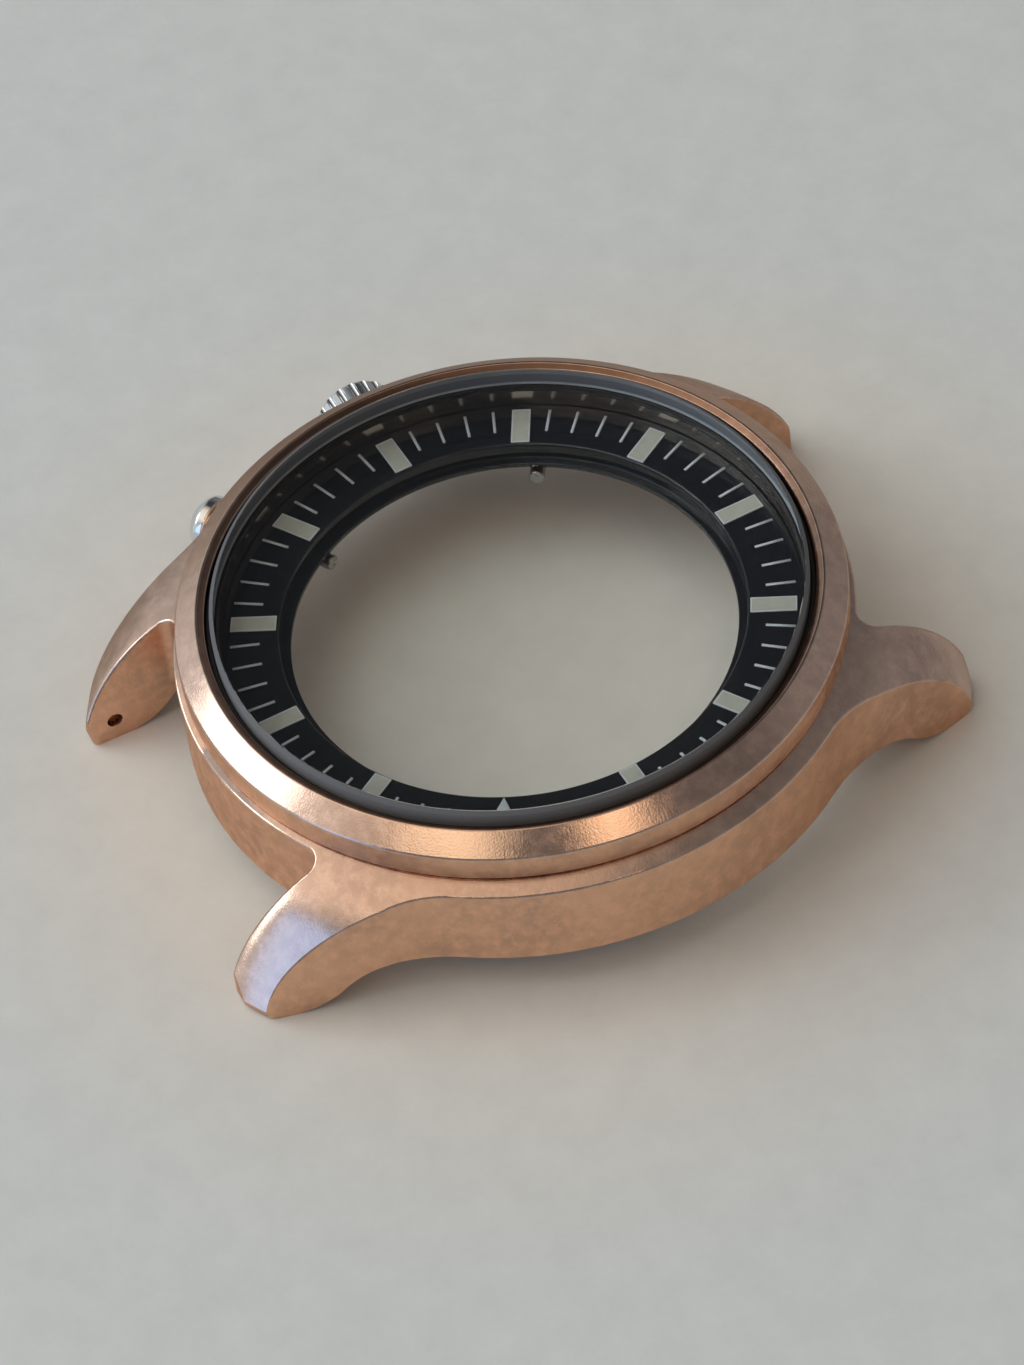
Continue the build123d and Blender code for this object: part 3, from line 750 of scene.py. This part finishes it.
TRIANGLE_TIP, TRIANGLE_HALF_WIDTH, TRIANGLE_HEIGHT = 14.11, 1.2, 0.06
bm = bmesh.new()
corners = [
    (TRIANGLE_TIP, 0.0), (MARK_OUTER, -TRIANGLE_HALF_WIDTH), (MARK_OUTER, TRIANGLE_HALF_WIDTH)
]
base = bm.faces.new([bm.verts.new((x * MM, y * MM, RING_TOP * MM)) for x, y in corners])
raised = bmesh.ops.extrude_face_region(bm, geom=[base])["geom"]
bmesh.ops.translate(
    bm, vec=(0, 0, TRIANGLE_HEIGHT * MM),
    verts=[g for g in raised if isinstance(g, bmesh.types.BMVert)],
)
bmesh.ops.rotate(
    bm, verts=list(bm.verts), cent=(0, 0, 0),
    matrix=Matrix.Rotation(radians(TWELVE_ANGLE), 3, "Z"),
)
bmesh.ops.recalc_face_normals(bm, faces=list(bm.faces))
add_piece("triangle_mark", bm, "ring", [print_grey], "twelve_triangle", weighted=False)

# %% [markdown]
# ## Crown
#
# The crown is a fluted steel cap. Its flutes are cut with a round tool, and the CAD
# solid has them all, so the crown is a merged copy too.

# %% Crown
bm = merged_copy("crown")
crown = add_piece("crown_fluted", bm, "crown", [steel_polished], "crown", weighted=False)
take_normals(crown.data)

# %% [markdown]
# ## Pushers
#
# Each pusher is a polished mushroom cap on a long thin stem. The stems run through the
# case wall, and their ends show through the opening.

# %% Caps and stems
PUSHER_HEIGHT = 3.4
PUSHER_ANGLES = {"two": 31.5, "four": -31.5}
PIN_STEPS, PIN_ROUND_SEGMENTS = 96, 12
CAP_OUTLINE = [
    (0.0, 23.65, 0.0),
    (1.22, 23.65, 1.10),
    (1.85, 22.60, 0.10),
    (1.85, 22.00, 0.15),
    (1.00, 22.00, 0.06),
    (1.00, 20.50, 0.04),
    (0.0, 20.50, 0.0),
]
STEM_OUTLINE = [
    (0.0, 13.20, 0.0),
    (0.475, 13.20, 0.08),
    (0.475, 21.40, 0.0),
    (0.0, 21.40, 0.0),
]
for place_name, angle in PUSHER_ANGLES.items():
    for part, outline, finish in (
        ("cap", CAP_OUTLINE, steel_polished), ("stem", STEM_OUTLINE, steel_turned_shaded)
    ):
        bm = spin_outline(outline, PIN_STEPS, PIN_ROUND_SEGMENTS)
        bmesh.ops.transform(
            bm, matrix=laid_outwards(angle, PUSHER_HEIGHT), verts=list(bm.verts)
        )
        add_piece(
            f"{part}_{place_name}", bm, f"pusher_{place_name}", [finish],
            f"pusher_{part}_{place_name}",
        )

# %% [markdown]
# ## Pieces that stay as the CAD has them
#
# The tubes, clips, springs and small gaskets are plain rings that hardly show. They keep
# their CAD meshes and only take a finish.

# %% Finish the small CAD nodes
small_nodes = {"crown_tube": steel_turned_shaded, "crown_gasket": rubber}
for place_name in PUSHER_ANGLES:
    small_nodes[f"pusher_gasket_{place_name}"] = rubber
    for part in ("tube", "spring", "clip"):
        small_nodes[f"pusher_{part}_{place_name}"] = steel_turned_shaded
for node_name, finish in small_nodes.items():
    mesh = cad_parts[node_name].data
    mesh.materials.clear()
    mesh.materials.append(finish)
print("finished", len(small_nodes), "CAD nodes")

# %% [markdown]
# ## Paper, light and camera
#
# The case lies on a sheet of pale paper. The lugs' pads touch it. Bronze throws warm light
# on the paper round it, which a render without caustics leaves out, so the paper itself
# is a little warmer under the case and close to it.

# %% Paper
FLOOR_HEIGHT = -2.2
WARM_WITHIN, PLAIN_BEYOND = 16, 42
paper, tree, shader, place = new_material("Paper", "paper", (0.71, 0.735, 0.725), roughness=0.5)
fibres = node(tree, "ShaderNodeTexNoise")
fibres.inputs["Scale"].default_value = 0.35 / MM
fibres.inputs["Detail"].default_value = 8.0
fibres.inputs["Roughness"].default_value = 0.7
tree.links.new(place, fibres.inputs["Vector"])
plain = mix_colors(tree, fibres.outputs["Fac"], (0.64, 0.665, 0.655), (0.79, 0.815, 0.805))
warm = mix_colors(tree, fibres.outputs["Fac"], (0.69, 0.65, 0.57), (0.84, 0.79, 0.70))
distance = node(tree, "ShaderNodeVectorMath", operation="LENGTH")
tree.links.new(place, distance.inputs[0])
away = spread(
    tree, distance.outputs["Value"], WARM_WITHIN * MM, PLAIN_BEYOND * MM, 0.0, 1.0
)
vary_color(tree, shader, away, warm, plain)
add_bump(tree, shader, fibres.outputs["Fac"], 0.03)

bm = bmesh.new()
bmesh.ops.create_grid(bm, x_segments=1, y_segments=1, size=1.0)
bmesh.ops.translate(bm, verts=list(bm.verts), vec=(0, 0, FLOOR_HEIGHT * MM))
floor_mesh = bpy.data.meshes.new("paper_sheet")
bm.to_mesh(floor_mesh)
bm.free()
floor_mesh.materials.append(paper)
floor = bpy.data.objects.new("paper_sheet", floor_mesh)
bpy.context.scene.collection.objects.link(floor)
print("paper at", FLOOR_HEIGHT, "mm")


# %% [markdown]
# A large cool window lights the case from one side, with a patch of blue sky beside it,
# and two small warm lamps stand higher up near the camera. Satin metal shows these as
# bright patches with darker stretches between. A lamp's brightness per area is what such
# a patch shows, so the helper takes that and works out the lamp's power. The light that
# the whole ceiling throws back is one large lamp that only dull surfaces take: as a
# mirror image it would be a hard bright square in the bronze.

# %% Lamps
LAMP_DISTANCE = 0.7


def add_lamp(name, azimuth, elevation, width, height, brightness, color):
    """Flat lamp at angles in degrees, with its size in metres, that faces the case."""
    data = bpy.data.lights.new(name, "AREA")
    data.shape = "RECTANGLE"
    data.size = width
    data.size_y = height
    data.energy = brightness * pi * width * height
    data.color = color
    lamp = bpy.data.objects.new(name, data)
    azimuth, elevation = radians(azimuth), radians(elevation)
    outwards = Vector(
        (cos(azimuth) * cos(elevation), sin(azimuth) * cos(elevation), sin(elevation))
    )
    lamp.location = outwards * LAMP_DISTANCE
    lamp.rotation_euler = outwards.to_track_quat("Z", "Y").to_euler()
    bpy.context.scene.collection.objects.link(lamp)
    return lamp


add_lamp("window", 57, 30, 0.40, 0.26, 3.0, (0.95, 0.98, 1.0))
add_lamp("blue_sky", 100, 18, 0.25, 0.42, 1.35, (0.27, 0.50, 1.0))
add_lamp("warm_lamp_near", 125, 54, 0.27, 0.14, 1.35, (1.0, 0.83, 0.58))
add_lamp("warm_lamp_far", 187, 56, 0.15, 0.14, 2.3, (1.0, 0.72, 0.46))
ceiling = add_lamp("ceiling", 60, 62, 0.6, 0.6, 1.05, (0.55, 0.74, 0.86))
ceiling.visible_glossy = False

# %% [markdown]
# The rest of the room is dim, so that the crystal mirrors nothing and the ring under it
# stays black. A few parts of it glow: the wall low down beside the window, the ceiling,
# the walls behind and beside the camera, and everything near the table's height. None of
# them lies where the crystal mirrors it to the camera.

# %% Room
ROOM = (0.050, 0.052, 0.056)
# Glows: azimuth, elevation, cosines of the angles where each starts and is full, colour
GLOWS = [
    (50, 15, 0.50, 0.88, (0.56, 0.60, 0.62)),
    (65, 68, 0.80, 0.95, (0.75, 0.58, 0.42)),
    (190, 35, 0.10, 0.60, (0.12, 0.11, 0.105)),
    (285, 18, 0.70, 0.92, (0.085, 0.088, 0.092)),
    (0, -90, -0.60, -0.35, (0.12, 0.11, 0.11)),
]
world = bpy.data.worlds.new("Room")
world.use_nodes = True
bpy.context.scene.world = world
tree = world.node_tree
background = tree.nodes["Background"]
look = tree.nodes.new("ShaderNodeTexCoord").outputs["Generated"]
light = node(tree, "ShaderNodeRGB").outputs[0]
light.default_value = (*ROOM, 1)
for azimuth, elevation, start, full, color in GLOWS:
    azimuth, elevation = radians(azimuth), radians(elevation)
    toward = node(tree, "ShaderNodeVectorMath", operation="DOT_PRODUCT")
    toward.inputs[1].default_value = (
        cos(azimuth) * cos(elevation), sin(azimuth) * cos(elevation), sin(elevation)
    )
    glow = node(tree, "ShaderNodeVectorMath", operation="SCALE")
    glow.inputs[0].default_value = color
    total = node(tree, "ShaderNodeVectorMath", operation="ADD")
    tree.links.new(look, toward.inputs[0])
    share = spread(tree, toward.outputs["Value"], start, full, 0.0, 1.0)
    tree.links.new(share, glow.inputs["Scale"])
    tree.links.new(light, total.inputs[0])
    tree.links.new(glow.outputs[0], total.inputs[1])
    light = total.outputs[0]
tree.links.new(light, background.inputs["Color"])
print("glows in the room:", len(GLOWS))

# %% [markdown]
# The camera's place was worked out from the circles of the bezel, the crystal and the
# ring in the photograph. It looks down at 48 degrees from the side opposite the crown,
# almost 30 centimetres away, and is held slightly turned.

# %% Camera
CAMERA_AZIMUTH = radians(160.31)
CAMERA_ELEVATION = radians(48.36)
CAMERA_ROLL = radians(-8.21)
CAMERA_DISTANCE = 289.142
CAMERA_SIDE, CAMERA_RISE = -0.118, 5.006
BEZEL_EDGE_HEIGHT = 8.2
FOCAL_PIXELS, PHOTO_LONG_SIDE = 4900, 1365

back = Vector((
    cos(CAMERA_AZIMUTH) * cos(CAMERA_ELEVATION),
    sin(CAMERA_AZIMUTH) * cos(CAMERA_ELEVATION),
    sin(CAMERA_ELEVATION),
))
right = Vector((0, 0, 1)).cross(back).normalized()
up = back.cross(right)
rolled_right = cos(CAMERA_ROLL) * right + sin(CAMERA_ROLL) * up
rolled_up = cos(CAMERA_ROLL) * up - sin(CAMERA_ROLL) * right
eye = back * CAMERA_DISTANCE - rolled_right * CAMERA_SIDE - rolled_up * CAMERA_RISE
eye.z += BEZEL_EDGE_HEIGHT

camera_data = bpy.data.cameras.new("camera")
camera_data.sensor_width = 36
camera_data.lens = camera_data.sensor_width * FOCAL_PIXELS / PHOTO_LONG_SIDE
camera_data.clip_start = 0.01
camera = bpy.data.objects.new("camera", camera_data)
camera.matrix_world = Matrix.Translation(eye * MM) @ Matrix(
    (rolled_right, rolled_up, back)
).transposed().to_4x4()
bpy.context.scene.collection.objects.link(camera)
bpy.context.scene.camera = camera
bpy.context.scene.view_settings.view_transform = "Standard"
print("camera at", [round(c, 1) for c in eye], "mm")
